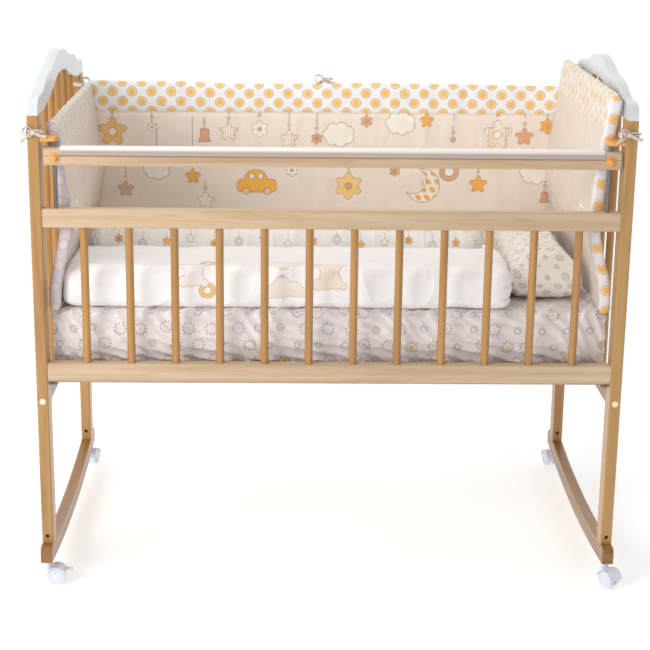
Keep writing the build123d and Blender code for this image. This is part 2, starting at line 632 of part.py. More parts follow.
# ---- Bedding ---------------------------------------------------------------------
def soft_block(x_range, y_range, z_range, radius):
    """A plain stuffed shape: a box with well rounded edges."""
    with BuildPart() as block:
        with Locations((sum(x_range) / 2, sum(y_range) / 2, sum(z_range) / 2)):
            Box(x_range[1] - x_range[0], y_range[1] - y_range[0], z_range[1] - z_range[0])
        fillet(block.edges(), radius)
    return block.part


BUMPER_T = 22
BUMPER_BACK_Y = 284.5
save(soft_block((-MATTRESS[0] / 2, MATTRESS[0] / 2), (-MATTRESS[1] / 2, MATTRESS[1] / 2),
                (MATTRESS_LOW, MATTRESS_TOP), 16), "mattress")
save(soft_block((-556, 384), (-290, -62), (BED_Z, 702), 22), "quilt")
save(soft_block((-540, 352), (-58, 88), (BED_Z, 745), 45), "blanket_roll")
save(soft_block((392, 540), (-196, 262), (BED_Z, 716), 40), "pillow")
save(soft_block((-584, 584), (BUMPER_BACK_Y, RAIL_IN - 1.5), (BED_Z, 1022), 8), "bumper_back")


def make_end_bumper(side, outline):
    """Padded end panel of even thickness, curving into the cot at its middle height."""
    with BuildPart() as bumper:
        with BuildSketch(Plane.XZ.offset(299)):
            with BuildLine():
                outer = [(side * x, z) for x, z in outline]
                inner = [(side * (x - BUMPER_T), z) for x, z in outline]
                Spline(outer)
                Spline(inner)
                Line(outer[0], inner[0])
                Line(outer[-1], inner[-1])
            make_face()
        extrude(amount=-(299 + BUMPER_BACK_Y - 0.5))
    return bumper.part


save(make_end_bumper(-1, [(597, BED_Z), (596, 665), (582, 724), (566, 795), (578, 900), (592, 1016)]),
     "bumper_left")
save(make_end_bumper(1, [(597, BED_Z), (595, 677), (578, 732), (564, 795), (574, 926), (597, 1084)]),
     "bumper_right")

# ribbon ties: a band round each post or rail and a flat bow outside it
TIE_T, TIE_W = 1.2, 12


def tie_band(x, y, z, size_x, size_y, size_z):
    """Closed band of ribbon round a bar, TIE_T thick and clear of it by 0.3 mm."""
    inner = [size_x + 0.6, size_y + 0.6, size_z]
    with Locations((x, y, z)):
        Box(inner[0] + 2 * TIE_T, inner[1] + 2 * TIE_T, inner[2])
        Box(*[inner[0], inner[1], inner[2] + 1], mode=Mode.SUBTRACT)


with BuildPart() as bumper_ties:
    for side, z in ((-1, 1004), (1, 1008)):
        tie_band(side * POST_X, -POST_Y, z, POST_W, POST_D, TIE_W)
        with Locations((side * (POST_X + 4), -HALF_D - 6.6, z)):
            Box(52, 10, 20)
    tie_band(-POST_X, POST_Y, 1010, POST_W, POST_D, TIE_W)
    with Locations((0, RAIL_Y, BACK_RAIL_Z + RAIL_H / 2)):
        Box(TIE_W, RAIL_T + 0.6 + 2 * TIE_T, RAIL_H + 0.6 + 2 * TIE_T)
        Box(TIE_W + 1, RAIL_T + 0.6, RAIL_H + 0.6, mode=Mode.SUBTRACT)
    with Locations((0, RAIL_Y, BACK_RAIL_Z + RAIL_H + 1.5 + 17)):
        Box(56, 8, 34)
save(bumper_ties.part, "bumper_ties")
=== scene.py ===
"""Looks of the baby cradle: lacquered beech, white ends, printed cotton bedding."""

import math

import bpy
import numpy as np
from mathutils import Matrix, Vector


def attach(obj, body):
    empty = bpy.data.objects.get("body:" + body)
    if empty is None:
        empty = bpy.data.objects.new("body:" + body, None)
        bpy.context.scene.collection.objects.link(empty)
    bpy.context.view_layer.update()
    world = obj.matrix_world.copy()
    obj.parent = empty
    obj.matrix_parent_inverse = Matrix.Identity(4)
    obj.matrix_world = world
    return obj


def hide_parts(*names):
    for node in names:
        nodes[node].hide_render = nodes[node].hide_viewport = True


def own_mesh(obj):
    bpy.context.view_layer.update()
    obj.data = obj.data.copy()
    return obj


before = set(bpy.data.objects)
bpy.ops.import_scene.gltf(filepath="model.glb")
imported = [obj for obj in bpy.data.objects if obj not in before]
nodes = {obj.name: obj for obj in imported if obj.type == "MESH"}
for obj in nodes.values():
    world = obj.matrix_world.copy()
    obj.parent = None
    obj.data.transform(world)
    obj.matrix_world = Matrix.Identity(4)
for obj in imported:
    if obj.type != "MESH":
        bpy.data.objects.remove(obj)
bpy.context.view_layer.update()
scene = bpy.context.scene

# ---- Materials -------------------------------------------------------------------


def lin(r, g, b):
    """sRGB 0-255 to the linear colour a shader takes."""
    return tuple(((c / 255 + 0.055) / 1.055) ** 2.4 if c > 10 else c / 3295 for c in (r, g, b)) + (1,)


class Shader:
    """A material under construction, with short calls for its nodes."""

    def __init__(self, name):
        self.mat = bpy.data.materials.new(name)
        self.mat.use_nodes = True
        self.tree = self.mat.node_tree
        self.bsdf = self.tree.nodes["Principled BSDF"]

    def put(self, socket, value):
        if isinstance(value, bpy.types.NodeSocket):
            self.tree.links.new(value, socket)
        else:
            socket.default_value = value

    def node(self, kind, inputs=None, **props):
        n = self.tree.nodes.new("ShaderNode" + kind)
        for k, v in props.items():
            setattr(n, k, v)
        for k, v in (inputs or {}).items():
            self.put(n.inputs[k], v)
        return n

    def math(self, op, a, b=0.0, clamp=False):
        n = self.node("Math", operation=op, use_clamp=clamp)
        self.put(n.inputs[0], a)
        self.put(n.inputs[1], b)
        return n.outputs[0]

    def mix(self, factor, a, b, blend="MIX"):
        n = self.node("Mix", data_type="RGBA", blend_type=blend)
        self.put(n.inputs[0], factor)
        self.put(n.inputs[6], a)
        self.put(n.inputs[7], b)
        return n.outputs[2]

    def ramp(self, factor, stops):
        n = self.node("ValToRGB", {"Fac": factor})
        while len(n.color_ramp.elements) < len(stops):
            n.color_ramp.elements.new(0.5)
        for e, (at, colour) in zip(n.color_ramp.elements, stops):
            e.position = at
            e.color = colour
        return n.outputs[0]

    def step(self, value, edge, soft):
        """0 below edge, 1 above it, over a soft width."""
        if isinstance(edge, bpy.types.NodeSocket):
            value, edge = self.math("SUBTRACT", value, edge), 0.0
        n = self.node("MapRange", {"Value": value, "From Min": edge - soft, "From Max": edge + soft},
                      interpolation_type="SMOOTHSTEP")
        return n.outputs[0]

    def noise(self, vector, scale, detail=3.0, distortion=0.0, roughness=0.5):
        n = self.node("TexNoise", {"Vector": vector, "Scale": scale, "Detail": detail,
                                   "Distortion": distortion, "Roughness": roughness})
        return n.outputs["Fac"]

    def surface(self, **values):
        for k, v in values.items():
            self.put(self.bsdf.inputs[k.replace("_", " ")], v)

    def bump(self, height, strength, distance):
        return self.node("Bump", {"Height": height, "Strength": strength, "Distance": distance}).outputs[0]


def wood(name, axis, light, mid, dark, seed=0.0):
    """Lacquered beech with its grain along axis."""
    s = Shader(name)
    place = s.node("TexCoord").outputs["Object"]
    stretch = [1.0, 1.0, 1.0]
    stretch[axis] = 0.045
    grain = s.node("Mapping", {"Vector": place, "Scale": stretch, "Location": (seed, seed * 0.7, seed * 1.3)})
    v = grain.outputs[0]
    bands = s.noise(v, 34, 5, 1.2, 0.55)
    colour = s.ramp(bands, [(0.30, light), (0.55, mid), (0.86, dark)])
    wide = s.noise(v, 7, 2, 0.5)
    colour = s.mix(s.math("MULTIPLY", s.step(wide, 0.55, 0.12), 0.16), colour, dark, "MULTIPLY")
    fleck = s.noise(v, 420, 2, 0.0)
    flecks = s.step(fleck, 0.64, 0.05)
    colour = s.mix(s.math("MULTIPLY", flecks, 0.42), colour, dark)
    place_noise = s.noise(place, 3.1, 2)
    colour = s.mix(s.math("MULTIPLY", s.step(place_noise, 0.5, 0.2), 0.12), colour, light)
    rough = s.math("ADD", 0.33, s.math("MULTIPLY", bands, 0.14))
    normal = s.bump(s.math("ADD", flecks, s.math("MULTIPLY", bands, 0.8)), 0.10, 0.0006)
    s.surface(Base_Color=colour, Roughness=rough, Normal=normal, Coat_Weight=0.35, Coat_Roughness=0.16)
    return s.mat


HONEY = (lin(190, 148, 90), lin(176, 132, 74), lin(140, 98, 46))
GOLD = (lin(190, 142, 80), lin(172, 124, 62), lin(130, 86, 36))
TAN = (lin(162, 114, 50), lin(142, 94, 32), lin(106, 64, 20))
PALE = (lin(208, 184, 154), lin(194, 166, 132), lin(162, 130, 92))
wood_x = wood("beech_rail", 0, *PALE, seed=0.3)
wood_y = wood("beech_runner", 1, *TAN, seed=1.7)
wood_z = wood("beech_post", 2, *HONEY, seed=2.9)
wood_spindle = wood("beech_spindle", 2, *GOLD, seed=4.1)
wood_base = wood("pine_base", 1, *PALE, seed=5.3)


def white_board():
    """White lacquer with a slight orange peel and a little handling dirt."""
    s = Shader("white_lacquer")
    place = s.node("TexCoord").outputs["Object"]
    peel = s.noise(place, 260, 3)
    cloud = s.noise(place, 9, 3)
    colour = s.mix(cloud, lin(203, 209, 213), lin(214, 219, 222))
    grime = s.step(s.noise(place, 42, 5), 0.66, 0.08)
    colour = s.mix(s.math("MULTIPLY", grime, 0.10), colour, lin(166, 170, 166))
    s.surface(Base_Color=colour, Roughness=s.math("ADD", 0.24, s.math("MULTIPLY", cloud, 0.12)),
              Normal=s.bump(peel, 0.10, 0.0004), Coat_Weight=0.4, Coat_Roughness=0.12)
    return s.mat


def plastic(name, a, b, rough=0.3, sub=0.0):
    s = Shader(name)
    place = s.node("TexCoord").outputs["Object"]
    cloud = s.noise(place, 60, 3)
    fine = s.noise(place, 900, 2)
    s.surface(Base_Color=s.mix(cloud, a, b), Roughness=s.math("ADD", rough, s.math("MULTIPLY", cloud, 0.12)),
              Normal=s.bump(fine, 0.06, 0.0003), Subsurface_Weight=sub, Subsurface_Scale=0.004)
    return s.mat


def steel(name, colour, rough):
    s = Shader(name)
    place = s.node("TexCoord").outputs["Object"]
    brushed = s.node("Mapping", {"Vector": place, "Scale": (900.0, 900.0, 30.0)})
    lines = s.noise(brushed.outputs[0], 1.0, 3)
    s.surface(Base_Color=s.mix(lines, colour, lin(150, 155, 160)), Metallic=1.0,
              Roughness=s.math("ADD", rough, s.math("MULTIPLY", lines, 0.15)),
              Normal=s.bump(lines, 0.12, 0.0002))
    return s.mat




def guard_vinyl():
    """Milky clear strip, glossy, with light painted into its colour: a painted highlight on top, painted
    shade down its flanges and a painted shadow line along their lower edge.
    """
    s = Shader("guard_vinyl")
    place = s.node("TexCoord").outputs["Object"]
    height = s.node("SeparateXYZ", {"Vector": place}).outputs[2]
    # painted highlight: the top is painted light and the flanges below it are painted shade
    down = s.step(height, 0.9655, 0.004)
    # painted shadow: a dark line along the lower edge of the flanges
    lip_shadow_step = s.step(height, 0.9552, 0.0008)
    along = s.node("Mapping", {"Vector": place, "Scale": (3.0, 200.0, 200.0)})
    cloud = s.noise(along.outputs[0], 1.0, 3)
    colour = s.mix(down, lin(176, 158, 146), lin(244, 238, 232))
    colour = s.mix(lip_shadow_step, lin(120, 92, 74), colour)
    colour = s.mix(s.math("MULTIPLY", cloud, 0.25), colour, lin(150, 128, 112))
    s.surface(Base_Color=colour, Roughness=s.math("ADD", 0.12, s.math("MULTIPLY", cloud, 0.1)),
              Normal=s.bump(cloud, 0.05, 0.0004), Coat_Weight=0.8, Coat_Roughness=0.06,
              Specular_IOR_Level=0.8)
    return s.mat


white = white_board()
amber = plastic("amber_moulding", lin(232, 172, 96), lin(214, 146, 74), 0.25, 0.05)
caster_white = plastic("caster_nylon", lin(232, 236, 246), lin(220, 224, 236), 0.26, 0.1)
guard_clear = guard_vinyl()
plug_white = plastic("plug_cream", lin(244, 226, 196), lin(236, 214, 180), 0.4)
zinc = steel("zinc_plate", lin(128, 136, 146), 0.28)
rod_steel = steel("rod_steel", lin(84, 84, 86), 0.26)

# ---- Give every CAD node its finish ----------------------------------------------


def finish_of(name):
    if name.startswith("end_cap"):
        return white
    if name.startswith(("rocker_l", "rocker_r", "end_crosspiece")):
        return wood_y
    if "spindles" in name:
        return wood_spindle
    if name.startswith("post_"):
        return wood_z
    if name in ("front_lower_rail", "front_middle_rail", "back_lower_rail", "back_top_rail", "drop_bar"):
        return wood_x
    if name in ("mattress_base_bars", "mattress_base_slats", "wood_dowels"):
        return wood_base
    if name in ("rod_brackets", "button_collars", "button_left", "button_right"):
        return amber
    if name == "chew_guard":
        return guard_clear
    if name == "guide_rods":
        return rod_steel
    if name == "screw_plugs":
        return plug_white
    if name.startswith(("caster_housing", "caster_wheels", "brake_lever")):
        return caster_white
    return zinc


CAP_EASE = 0.0032
WELD_GAP = 0.00005
for name, obj in nodes.items():
    obj.data.materials.clear()
    obj.data.materials.append(finish_of(name))
    if name.startswith("end_cap"):
        weld = obj.modifiers.new("weld", "WELD")
        weld.merge_threshold = WELD_GAP
        bevel = obj.modifiers.new("ease", "BEVEL")
        bevel.width = CAP_EASE
        bevel.segments = 4
        bevel.angle_limit = math.radians(50)
        bevel.harden_normals = True

# ---- Printed cloth ---------------------------------------------------------------
ORANGE = lin(250, 184, 84)
PEACH = lin(232, 176, 136)
INK = lin(128, 104, 100)
CREAM = lin(252, 246, 234)


def new_mesh(name, co, faces, rest=None):
    """Mesh object from arrays, smooth shaded, with its flat-cloth coordinates in 'rest'."""
    mesh = bpy.data.meshes.new(name)
    mesh.from_pydata([tuple(p) for p in co], [], [tuple(f) for f in faces])
    mesh.update()
    if rest is not None:
        layer = mesh.attributes.new("rest", "FLOAT_VECTOR", "POINT")
        layer.data.foreach_set("vector", np.asarray(rest, np.float32).ravel())
    mesh.polygons.foreach_set("use_smooth", [True] * len(mesh.polygons))
    obj = bpy.data.objects.new(name, mesh)
    scene.collection.objects.link(obj)
    return obj


def tube(name, rings, rest):
    """Closed skin through rings of points (count, around, 3), with both ends capped."""
    n, m = rings.shape[:2]
    i, j = np.meshgrid(np.arange(n - 1), np.arange(m), indexing="ij")
    k = (j + 1) % m
    quads = np.stack([i * m + j, (i + 1) * m + j, (i + 1) * m + k, i * m + k], -1).reshape(-1, 4)
    faces = [tuple(q) for q in quads]
    faces.append(tuple(range(m)))
    faces.append(tuple(reversed(range((n - 1) * m, n * m))))
    return new_mesh(name, rings.reshape(-1, 3), faces, rest.reshape(-1, 3))


def paint(obj, colours):
    """Store one printed colour per vertex."""
    layer = obj.data.color_attributes.new("print", "FLOAT_COLOR", "POINT")
    layer.data.foreach_set("color", np.asarray(colours, np.float32).ravel())


def over(base, colour, mask):
    """Lay colour on base where mask is 1."""
    m = np.clip(mask, 0, 1)[:, None]
    return base * (1 - m) + np.array(colour) * m


def inside(d, soft=0.7):
    """1 where the signed distance d, in mm, is negative."""
    return np.clip(0.5 - d / (2 * soft), 0, 1)


def star_d(x, y, r, points=5, depth=0.42):
    """Roughly the distance to a rounded star or flower."""
    a = np.arctan2(x, y)
    rad = np.hypot(x, y)
    w = 0.5 + 0.5 * np.cos(points * a)
    return rad - r * (1 - depth * (1 - w**0.8))


def outline(c, d, fill, ink=INK, w=1.5):
    """Fill a shape given by its signed distance d, with an ink line w mm wide on its edge."""
    c = over(c, fill, inside(d))
    return over(c, ink, inside(np.abs(d) - w / 2) * 0.85)


def dot_rows(c, x, y, pitch, r):
    """Staggered orange spots with a pale ring and a thin dark edge."""
    row = np.floor(y / (pitch * 0.5) + 0.5)
    shift = np.where(np.mod(row, 2) > 0.5, 0.5, 0.0)
    cx = (np.floor(x / pitch - shift + 0.5) + shift) * pitch
    d = np.hypot(x - cx, y - row * pitch * 0.5)
    c = over(c, lin(196, 156, 120), inside(d - r) * 0.8)
    c = over(c, lin(255, 232, 190), inside(d - r * 0.88))
    return over(c, lin(252, 196, 96), inside(d - r * 0.74))


# kind, x, height, radius, fill, and where its string ends (0 for none), in mm
TOYS = [
    ("star", -525, 893, 36, lin(253, 206, 130), 946), ("star", -495, 750, 20, lin(228, 190, 156), 870),
    ("flower", -428, 905, 12, CREAM, 946), ("cloud", -418, 800, 34, CREAM, 930),
    ("bell", -300, 884, 22, PEACH, 946), ("star", -329, 783, 19, ORANGE, 946),
    ("star", -298, 722, 20, CREAM, 800), ("star", -240, 895, 22, CREAM, 946),
    ("flower", -165, 902, 21, CREAM, 946), ("car", -171, 776, 50, lin(253, 190, 84), 0),
    ("flower", -85, 800, 16, CREAM, 830), ("star", -92, 878, 22, CREAM, 946),
    ("flower", -24, 880, 14, PEACH, 946), ("cloud", 30, 890, 40, CREAM, 0),
    ("flower", 56, 762, 34, lin(253, 212, 140), 860), ("cloud", 182, 920, 38, CREAM, 946),
    ("flower", 98, 924, 15, PEACH, 946), ("flower", 170, 800, 13, PEACH, 840),
    ("star", 246, 926, 17, ORANGE, 946), ("moon", 240, 764, 42, CREAM, 860),
    ("ball", 312, 880, 6, ORANGE, 946), ("ball", 305, 800, 24, lin(224, 178, 140), 850),
    ("star", 422, 893, 36, CREAM, 946), ("star", 378, 768, 22, ORANGE, 850),
    ("star", 488, 888, 22, PEACH, 946), ("flower", 545, 915, 20, ORANGE, 946),
    ("cloud", 520, 800, 40, CREAM, 0), ("bell", 545, 735, 18, PEACH, 790),
]


def draw_toy(c, x, y, kind, r, fill):
    """Draw one plain toy shape of radius r over the colours c, at offsets x, y from its centre."""
    if kind == "star":
        d = star_d(x, y, r)
        c = outline(c, d, fill)
        if fill is not ORANGE and r > 20:
            bars = (np.mod(x + 500, 7) < 3.2) & (d < -1.5)
            c = over(c, lin(232, 176, 110), bars * 0.6)
        if r > 30:
            c = outline(c, np.hypot(x, y) - r * 0.28, CREAM)
    elif kind == "flower":
        c = outline(c, star_d(x, y, r, 6, 0.30), fill)
        c = outline(c, np.hypot(x, y) - r * 0.24, PEACH)
    elif kind == "cloud":
        d = np.hypot(x, y * 1.25) - r * 0.62
        for k in range(7):
            a = k * math.tau / 7 + 0.4
            d = np.minimum(d, np.hypot(x - math.cos(a) * r * 0.62, y - math.sin(a) * r * 0.42) - r * 0.36)
        c = outline(c, d, fill)
    elif kind == "puff":
        d = np.full(len(x), 1e3)
        for dx, dy, rr in ((-0.8, -0.1, 0.42), (-0.2, 0.12, 0.58), (0.45, 0.05, 0.46), (0.95, -0.16, 0.3)):
            d = np.minimum(d, np.hypot(x - dx * r, y - dy * r) - rr * r)
        shade = np.clip((-y / r + 0.2) * 0.8, 0, 1) * inside(d)
        c = outline(c, d, fill, lin(196, 170, 158), 1.3)
        c = over(c, lin(238, 206, 180), shade * 0.55)
    elif kind == "car":
        along, above = np.abs(x) - r * 0.72, np.abs(y + r * 0.3) - r * 0.06
        body = np.hypot(np.maximum(along, 0), np.maximum(above, 0)) - r * 0.27
        cabin = np.maximum(np.hypot((x + r * 0.06) * 0.95, y + r * 0.05) - r * 0.56, -(y + r * 0.3))
        c = outline(c, np.minimum(body, cabin), fill)
        for side in (-0.26, 0.18):
            c = outline(c, np.hypot((x - side * r) * 1.1, y - r * 0.16) - r * 0.15, CREAM)
        for side in (-0.52, 0.52):
            c = outline(c, np.hypot(x - side * r, y + r * 0.58) - r * 0.17, lin(250, 214, 160))
    elif kind == "moon":
        d = np.maximum(np.hypot(x, y) - r, -(np.hypot(x + r * 0.55, y - r * 0.30) - r * 0.78))
        c = outline(c, d, fill)
        spots = np.hypot(np.mod(x + y * 0.5 + 300, 22) - 11, np.mod(y + 300, 20) - 10) - 7
        c = over(c, ORANGE, inside(spots) * (d < -1))
    elif kind == "bell":
        flare = 0.46 + 0.42 * np.clip(0.1 - y / r, 0, 1) ** 1.6
        d = np.maximum(np.maximum(np.abs(x) - r * flare, -y - r * 0.62), np.hypot(x, y + r * 0.1) - r * 0.95)
        c = outline(c, d, fill)
    else:
        c = outline(c, np.hypot(x, y) - r, fill)
        c = outline(c, np.hypot(x, y) - r * 0.5, CREAM)
    return c


def back_print(u, v):
    """Beige cotton with toys hung on strings, under a band of spots. u, v in mm."""
    c = np.tile(np.array(lin(246, 234, 222)), (len(u), 1))
    for kind, x0, z0, r, fill, top in TOYS:
        near = (np.abs(u - x0) < r * 1.6 + 6) & (v > z0 - r * 1.6)
        x, y = u[near] - x0, v[near] - z0
        part = c[near]
        if top:
            line = (np.abs(x + 0.6 * np.sin(y * 0.07)) < 0.9) & (y > 0) & (v[near] < top)
            part = over(part, INK, line * 0.7)
            bead = np.hypot(x, v[near] - (z0 + r + 12)) - 3.6
            part = outline(part, bead, lin(240, 206, 170), w=1.2)
        c[near] = draw_toy(part, x, y, kind, r, fill)
    return c


def spots(s, rest, colour, edge, pitch, r, tones):
    """Staggered ringed spots on white, above the given height in the flat cloth."""
    ground, line, ring, core = tones
    xyz = s.node("SeparateXYZ", {"Vector": rest})
    u = s.math("MULTIPLY", xyz.outputs[0], 1000.0 / pitch)
    up = s.math("SUBTRACT", s.math("MULTIPLY", xyz.outputs[1], 1000.0), edge)
    w = s.math("MULTIPLY", up, 2.0 / pitch)
    row = s.math("FLOOR", s.math("ADD", w, 0.5))
    shift = s.math("MULTIPLY", s.math("FLOORED_MODULO", row, 2.0), 0.5)
    column = s.math("ADD", s.math("FLOOR", s.math("ADD", s.math("SUBTRACT", u, shift), 0.5)), shift)
    x = s.math("MULTIPLY", s.math("SUBTRACT", u, column), pitch)
    y = s.math("MULTIPLY", s.math("SUBTRACT", w, row), pitch / 2)
    d = s.math("SQRT", s.math("ADD", s.math("MULTIPLY", x, x), s.math("MULTIPLY", y, y)))
    spot = s.mix(s.math("SUBTRACT", 1.0, s.step(d, r + 0.3, 0.5)), ground, line)
    spot = s.mix(s.math("SUBTRACT", 1.0, s.step(d, r - 1.2, 0.5)), spot, ring)
    spot = s.mix(s.math("SUBTRACT", 1.0, s.step(d, r * 0.68, 1.0)), spot, core)
    return s.mix(s.step(up, 0.0, 0.4), colour, spot)


def cloth_shader(name, base_rough=0.62, sheen=0.3, weave=0.10, crease=0.0, band=None):
    """Cotton that shows the printed colours of its mesh, with a fine weave and small creases."""
    s = Shader(name)
    colour = s.node("Attribute", attribute_name="print").outputs["Color"]
    rest = s.node("Attribute", attribute_name="rest").outputs["Vector"]
    if band:
        colour = spots(s, rest, colour, *band)
    threads = s.noise(rest, 1500, 2)
    mottled = s.noise(rest, 24, 4)
    soiled = s.math("MULTIPLY", s.step(mottled, 0.55, 0.2), 0.08)
    colour = s.mix(soiled, colour, lin(176, 160, 150), "MULTIPLY")
    folds = s.noise(rest, 16, 3, 1.4)
    height = s.math("ADD", s.math("MULTIPLY", threads, weave), s.math("MULTIPLY", folds, crease))
    s.surface(Base_Color=colour, Roughness=s.math("ADD", base_rough, s.math("MULTIPLY", mottled, 0.1)),
              Normal=s.bump(height, 0.5, 0.004), Sheen_Weight=sheen, Sheen_Roughness=0.4)
    return s.mat


def strewn_print(name, ground, tints, rough, weave, crease, pitch=46.0, size=1.0):
    """Small suns and flowers at jittered places, drawn in the shader from flat cloth coordinates."""
    s = Shader(name)
    rest = s.node("Attribute", attribute_name="rest").outputs["Vector"]
    xyz = s.node("SeparateXYZ", {"Vector": rest})
    facing = s.node("SeparateXYZ", {"Vector": s.node("NewGeometry").outputs["Normal"]})
    on_end = s.step(s.math("ABSOLUTE", facing.outputs[0]), 0.72, 0.001)
    on_top = s.step(s.math("ABSOLUTE", facing.outputs[2]), 0.72, 0.001)
    across = s.node("Mix", {"Factor": on_end, "A": xyz.outputs[0], "B": xyz.outputs[1]})
    upward = s.node("Mix", {"Factor": on_top, "A": xyz.outputs[2], "B": xyz.outputs[1]})
    u = s.math("MULTIPLY", across.outputs[0], 1000.0 / pitch)
    v = s.math("MULTIPLY", upward.outputs[0], 1000.0 / (pitch * 0.74))
    j = s.math("FLOOR", v)
    shifted = s.math("ADD", u, s.math("MULTIPLY", s.math("FLOORED_MODULO", j, 2.0), 0.5))
    i = s.math("FLOOR", shifted)
    cell = s.node("CombineXYZ", {"X": i, "Y": j, "Z": 0.0})
    dice = s.node("TexWhiteNoise", {"Vector": cell.outputs[0]}, noise_dimensions="3D")
    rgb = s.node("SeparateColor", {"Color": dice.outputs["Color"]})
    pick, jit, kind = rgb.outputs[0], rgb.outputs[1], rgb.outputs[2]
    x = s.math("MULTIPLY", s.math("SUBTRACT", s.math("SUBTRACT", shifted, i),
                                  s.math("ADD", 0.36, s.math("MULTIPLY", jit, 0.28))), pitch)
    y = s.math("MULTIPLY", s.math("SUBTRACT", s.math("SUBTRACT", v, j),
                                  s.math("ADD", 0.4, s.math("MULTIPLY", pick, 0.2))), pitch * 0.74)
    r = s.math("SQRT", s.math("ADD", s.math("MULTIPLY", x, x), s.math("MULTIPLY", y, y)))
    angle = s.math("ARCTAN2", y, x)
    big = s.step(kind, 0.55, 0.001)
    rad = s.math("MULTIPLY", s.math("ADD", 5.0, s.math("MULTIPLY", big, 4.6)), size)
    petals = s.math("MULTIPLY", s.math("COSINE", s.math("MULTIPLY", angle, 11.0)), 0.5)
    ray_zone = s.math("MULTIPLY", s.step(s.math("SUBTRACT", r, rad), 0.4, 0.4),
                      s.math("SUBTRACT", 1.0, s.step(s.math("SUBTRACT", r, rad), 3.6, 0.5)))
    rays = s.math("MULTIPLY", ray_zone, s.step(petals, 0.05, 0.22))
    from_ring = s.math("ABSOLUTE", s.math("SUBTRACT", r, s.math("MULTIPLY", rad, 0.86)))
    ring = s.math("SUBTRACT", 1.0, s.step(from_ring, 0.55, 0.4))
    core = s.math("SUBTRACT", 1.0, s.step(r, s.math("MULTIPLY", rad, 0.55), 0.5))
    disc = s.math("SUBTRACT", 1.0, s.step(r, s.math("MULTIPLY", rad, 0.9), 0.6))
    tint = s.ramp(pick, tints)
    ink = s.mix(s.step(pick, 0.5, 0.01), lin(128, 104, 104), lin(120, 122, 168))
    mottled = s.noise(rest, 22, 4)
    base = s.mix(s.math("MULTIPLY", mottled, 0.35), ground, lin(236, 222, 212))
    colour = s.mix(disc, base, lin(244, 238, 236))
    colour = s.mix(core, colour, tint)
    colour = s.mix(s.math("MULTIPLY", s.math("ADD", ring, rays, clamp=True), 0.72), colour, ink)
    threads = s.noise(rest, 1500, 2)
    folds = s.noise(rest, 15, 3, 1.6)
    height = s.math("ADD", s.math("MULTIPLY", threads, weave), s.math("MULTIPLY", folds, crease))
    s.surface(Base_Color=colour, Roughness=s.math("ADD", rough, s.math("MULTIPLY", mottled, 0.1)),
              Normal=s.bump(height, 0.5, 0.004), Sheen_Weight=0.25, Sheen_Roughness=0.4)
    return s.mat


cotton = cloth_shader("printed_cotton", crease=0.6)
BAND = (lin(250, 250, 252), lin(190, 152, 116), lin(255, 234, 196), lin(250, 200, 110))
# painted shade: the left bumper's band is a greyer, dimmer copy of the spotted band, the way it looks in
# shade
BAND_IN_SHADE = (lin(226, 224, 224), lin(198, 176, 150), lin(238, 222, 188), lin(236, 204, 140))
SAND = (lin(232, 224, 212), lin(204, 184, 160), lin(240, 226, 202), lin(226, 196, 154))
back_cotton = cloth_shader("back_bumper_cotton", crease=0.6, band=(945.0, 47.5, 11.8, BAND))
left_cotton = cloth_shader("left_bumper_cotton", crease=0.6, band=(938.0, 47.5, 11.8, BAND_IN_SHADE))
right_cotton = cloth_shader("right_bumper_cotton", crease=0.6, band=(1006.0, 47.5, 11.8, SAND))
satin = cloth_shader("printed_satin", 0.34, 0.2, 0.05, 0.8)
SUN_TINTS = [(0.0, ORANGE), (0.2, lin(240, 222, 204)), (0.5, lin(216, 218, 236)), (0.8, lin(236, 206, 186))]
mattress_satin = strewn_print("mattress_satin", lin(234, 229, 230), SUN_TINTS, 0.24, 0.03, 0.9, 50.0, 1.1)
PILLOW_TINTS = [(0.0, lin(236, 214, 186)), (0.3, lin(214, 200, 190)), (0.6, lin(224, 220, 228))]
pillow_cotton = strewn_print("pillow_cotton", lin(244, 238, 228), PILLOW_TINTS, 0.5, 0.06, 0.7, 34.0, 0.6)


def waves(a, b, scale, seed, octaves=4):
    """Smooth random ripples over two flat coordinates, in mm, about -1 to 1."""
    r = np.random.default_rng(seed)
    total = np.zeros_like(a)
    for k in range(octaves):
        for _ in range(5):
            t, ph = r.uniform(0, math.tau), r.uniform(0, math.tau)
            f = math.tau / (scale / 1.7**k) * r.uniform(0.7, 1.3)
            total += np.sin(f * (a * math.cos(t) + b * math.sin(t)) + ph) / 1.6**k / 5
    return total


def section(x0, x1, z0, z1, step):
    """Closed outline of a thin upright pad in its own (depth, height) plane, from the bottom of
    its face up, over the top and down the back. Returns depth, height and length along it."""
    front = np.arange(z0 + 4, z1 - 4, step)
    top = np.linspace(0, math.pi, 10)[1:-1]
    half, mid = (x1 - x0) / 2, (x0 + x1) / 2
    back = np.arange(z1 - 4, z0 + 4, -step * 3)
    d = np.concatenate([np.full(len(front), x0), mid - half * np.cos(top), np.full(len(back), x1),
                        mid + half * np.cos(top)])
    h = np.concatenate([front, z1 - 4 + 4 * np.sin(top), back, z0 + 4 - 4 * np.sin(top)])
    run = np.concatenate([[0], np.cumsum(np.hypot(np.diff(d), np.diff(h)))]) + z0
    return d, h, run


